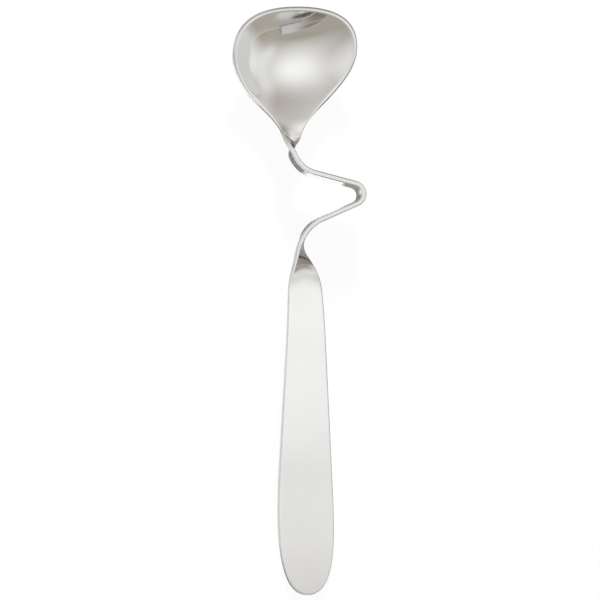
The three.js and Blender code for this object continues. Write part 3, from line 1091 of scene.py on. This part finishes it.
def studio_screens(studio):
    """Grey gauze over the handle's end, and a white card standing beside the bowl."""
    gauze = soft_screen("Grey gauze", studio.tent_ends, studio.flag_cover, studio.flag_radius, GAUZE_CORE)
    flag = hung_screen("studio_flag", studio.flag_radius, gauze)
    flag.location = studio.flag_place
    white = [channel * studio.card_light for channel in studio.tent_white]
    board = soft_screen("White card", white, 1.0, studio.card_radius, CARD_CORE)
    card = hung_screen("studio_card", studio.card_radius, board)
    card.location = studio.card_place
    card.rotation_euler = (0, math.pi / 2, 0)


def studio_lamp(studio):
    """Large soft lamp over the table."""
    data = bpy.data.lights.new("Soft lamp", "AREA")
    data.shape = "DISK"
    data.size = studio.lamp_size
    data.energy = studio.lamp_power
    lamp = linked_object("soft_lamp", data)
    lamp.location = studio.lamp_place
    lamp.rotation_euler = lamp.location.to_track_quat("Z", "Y").to_euler()
    lamp.visible_glossy = False


# Operators

def settings_and_strip():
    """The scene's settings, and the strip that they give."""
    settings = bpy.context.scene.jam_spoon
    return settings, Strip(settings)


class JAMSPOON_OT_bowl(bpy.types.Operator):
    """Dish the bowl from the strip's wide end"""
    bl_idname = "jam_spoon.bowl"
    bl_label = "Bowl"
    bl_options = {"REGISTER", "UNDO"}

    def execute(self, context):
        settings, strip = settings_and_strip()
        joint_share = strip.share_at(strip.flank_curve, np.array(strip.bowl_joint))
        stations = joined(
            strip.stations(strip.tip_curve, np.linspace(0, 1, TIP_STEPS + 1)),
            strip.stations(strip.flank_curve, np.linspace(0, joint_share, FLANK_STEPS + 1)[1:-1]),
            strip.joint(strip.bowl_joint),
        )
        mesh = formed_length("polished_bowl", stations, strip)
        finish_piece("polished_bowl", mesh, "bowl", polished_stainless(settings.steel))
        return {"FINISHED"}


class JAMSPOON_OT_hook(bpy.types.Operator):
    """Turn the strap on edge and bend it into the hook"""
    bl_idname = "jam_spoon.hook"
    bl_label = "Neck and hook"
    bl_options = {"REGISTER", "UNDO"}

    def execute(self, context):
        settings, strip = settings_and_strip()
        steel = polished_stainless(settings.steel)
        finish_piece("polished_hook", strap_mesh(strip, steel), "neck_hook", steel)
        return {"FINISHED"}


class JAMSPOON_OT_handle(bpy.types.Operator):
    """Form the flat handle with its round end"""
    bl_idname = "jam_spoon.handle"
    bl_label = "Handle"
    bl_options = {"REGISTER", "UNDO"}

    def execute(self, context):
        settings, strip = settings_and_strip()
        blade = np.linspace(strip.handle_joint, strip.taper_end, BLADE_STEPS + 1)[1:-1]
        stations = joined(
            strip.joint(strip.handle_joint),
            strip.stations_at(blade),
            strip.stations(strip.end_curve, np.linspace(0, 1, END_STEPS + 1)),
        )
        mesh = formed_length("polished_handle", stations, strip)
        finish_piece("polished_handle", mesh, "handle", polished_stainless(settings.steel))
        return {"FINISHED"}


class JAMSPOON_OT_joints(bpy.types.Operator):
    """Polish the two joints flush, so that the steel runs on across them"""
    bl_idname = "jam_spoon.joints"
    bl_label = "Flush joints"
    bl_options = {"REGISTER", "UNDO"}

    def execute(self, context):
        blend_joints([bpy.data.objects[name] for name in PIECES])
        return {"FINISHED"}


class JAMSPOON_OT_studio(bpy.types.Operator):
    """Set up the table, the light and the camera"""
    bl_idname = "jam_spoon.studio"
    bl_label = "Studio"
    bl_options = {"REGISTER", "UNDO"}

    def execute(self, context):
        settings, strip = settings_and_strip()
        context.scene.view_settings.view_transform = "Standard"
        studio_camera(strip, settings.studio)
        studio_table(settings.studio)
        studio_world(settings.studio)
        studio_screens(settings.studio)
        studio_lamp(settings.studio)
        return {"FINISHED"}


OPERATORS = (
    JAMSPOON_OT_bowl,
    JAMSPOON_OT_hook,
    JAMSPOON_OT_handle,
    JAMSPOON_OT_joints,
    JAMSPOON_OT_studio,
)


class JAMSPOON_PT_sidebar(bpy.types.Panel):
    """Sizes, finishes and steps of the jam spoon"""
    bl_idname = "JAMSPOON_PT_sidebar"
    bl_label = "Jam spoon"
    bl_space_type = "VIEW_3D"
    bl_region_type = "UI"
    bl_category = "Jam spoon"

    def draw(self, context):
        for step in OPERATORS:
            self.layout.operator(step.bl_idname)
        settings = context.scene.jam_spoon
        for group in ("sheet", "bowl", "hook", "handle", "steel", "studio"):
            box = self.layout.box()
            values = getattr(settings, group)
            box.label(text=group.capitalize())
            for name in values.__annotations__:
                box.prop(values, name)


CLASSES = (
    SheetSizes,
    BowlSizes,
    HookSizes,
    HandleSizes,
    SteelFinish,
    StudioSettings,
    SpoonSettings,
    *OPERATORS,
    JAMSPOON_PT_sidebar,
)


def register():
    """Add the classes, and the settings to the scene."""
    for added in CLASSES:
        bpy.utils.register_class(added)
    bpy.types.Scene.jam_spoon = bpy.props.PointerProperty(type=SpoonSettings)


def unregister():
    """Take the settings and the classes away again."""
    del bpy.types.Scene.jam_spoon
    for added in reversed(CLASSES):
        bpy.utils.unregister_class(added)


def main():
    """Build the spoon and its studio."""
    register()
    bpy.ops.jam_spoon.bowl()
    bpy.ops.jam_spoon.hook()
    bpy.ops.jam_spoon.handle()
    bpy.ops.jam_spoon.joints()
    bpy.ops.jam_spoon.studio()


if __name__ == "__main__":
    main()
